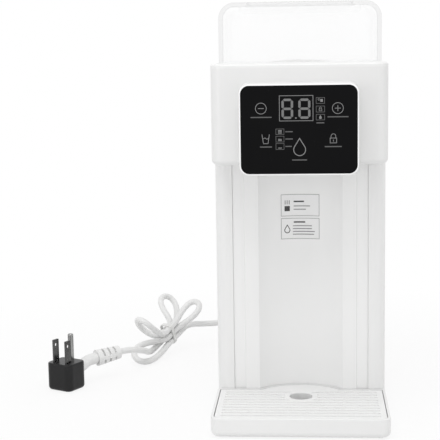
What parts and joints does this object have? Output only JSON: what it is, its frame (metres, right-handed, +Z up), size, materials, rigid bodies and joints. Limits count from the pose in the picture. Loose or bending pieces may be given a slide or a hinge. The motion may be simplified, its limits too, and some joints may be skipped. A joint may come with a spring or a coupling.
{
  "type": "hot water dispenser",
  "caption": "Countertop instant hot water dispenser with a clear lift-off tank, touch panel over a cup space, sliding drip tray and a tied mains cord with plug.",
  "frame": {"origin": "on the floor, under the middle of the body's bounding box, with the cord and plug left out", "axes": "+Z up, the front with the touch panel looks along -Y, +X to the right seen from the front"},
  "size_m": [0.2747, 0.2826, 0.314],
  "materials": {
    "white_shell": "satin moulded white",
    "black_glass": "gloss black touch panel",
    "clear_tank": "clear moulded",
    "black_rubber": "matte",
    "silicone": "soft satin",
    "steel": "plain",
    "circuit_board": "board green",
    "board_parts": "dark moulded",
    "grey_plastic": "moulded",
    "sensor_brass": "plain",
    "cord_sheath": "satin white sheath",
    "cord_tie": "plain",
    "plug_black": "satin black",
    "pin_metal": "plated"
  },
  "bodies": {
    "cabinet": {"base_plate": "white_shell", "base_screws": "steel", "board_components": "board_parts", "board_screws": "steel", "column_shell": "white_shell", "cord_gland": "cord_sheath", "cord_hank": "cord_sheath", "cord_lead": "cord_sheath", "cord_tail": "cord_sheath", "cord_tie": "cord_tie", "coupling_seal": "black_rubber", "cover_screws": "white_shell", "display_board": "circuit_board", "front_panel": "white_shell", "head_screws": "steel", "head_shell": "white_shell", "heater_caps": "grey_plastic", "heater_clamps": "steel", "heater_tube": "steel", "inlet_hose": "silicone", "inner_lead": "cord_sheath", "led_display": "board_parts", "mains_terminal": "grey_plastic", "nose_housing": "white_shell", "nose_screws": "steel", "outlet_hose": "silicone", "plug_blades": "pin_metal", "plug_body": "plug_black", "plug_earth_pin": "pin_metal", "plug_relief": "cord_sheath", "power_board": "circuit_board", "pressure_hose": "silicone", "pump_cradle": "grey_plastic", "pump_housing": "grey_plastic", "pump_motor": "steel", "rear_housing": "white_shell", "rubber_feet": "black_rubber", "spout": "grey_plastic", "spout_seal": "silicone", "tank_coupling": "grey_plastic", "temperature_sensor": "sensor_brass", "thermal_cutoff": "board_parts", "top_cover": "white_shell", "touch_pads": "black_rubber", "touch_panel": "black_glass"},
    "tank": {"water_tank": "clear_tank", "lid_pin": "clear_tank", "valve_guide": "grey_plastic", "valve_spring": "steel"},
    "tank_flap": {"tank_lid": "clear_tank", "lid_gasket": "silicone"},
    "tank_valve": {"valve_plunger": "grey_plastic", "valve_seal": "black_rubber"},
    "tray": {"drip_tray": "white_shell", "tray_pads": "black_rubber"},
    "tray_plate": {"drip_plate": "white_shell"},
    "pump_rotor": {"pump_impeller": "grey_plastic"}
  },
  "joints": [
    {"name": "tank_lift", "type": "slide", "parent": "cabinet", "child": "tank", "axis": [0, 0, 1], "range_m": [0, 0.26]},
    {"name": "tank_lid_hinge", "type": "hinge", "parent": "tank", "child": "tank_flap", "pos_m": [0, 0.08775, 0.3121], "axis": [-1, 0, 0], "range_deg": [0, 100]},
    {"name": "tank_valve_close", "type": "slide", "parent": "tank", "child": "tank_valve", "axis": [0, 0, 1], "range_m": [-0.003, 0], "deforming": ["valve_spring"]},
    {"name": "tray_slide", "type": "slide", "parent": "cabinet", "child": "tray", "axis": [0, -1, 0], "range_m": [0, 0.1]},
    {"name": "tray_plate_lift", "type": "slide", "parent": "tray", "child": "tray_plate", "axis": [0, 0, 1], "range_m": [0, 0.05]},
    {"name": "pump_spin", "type": "hinge", "parent": "cabinet", "child": "pump_rotor", "pos_m": [0.02349, 0.06203, 0.0215], "axis": [1, 0, 0], "continuous": true}
  ],
  "couplings": [
    {"joint": "tank_valve_close", "follows": "tank_lift", "ratio": -0.011538}
  ]
}
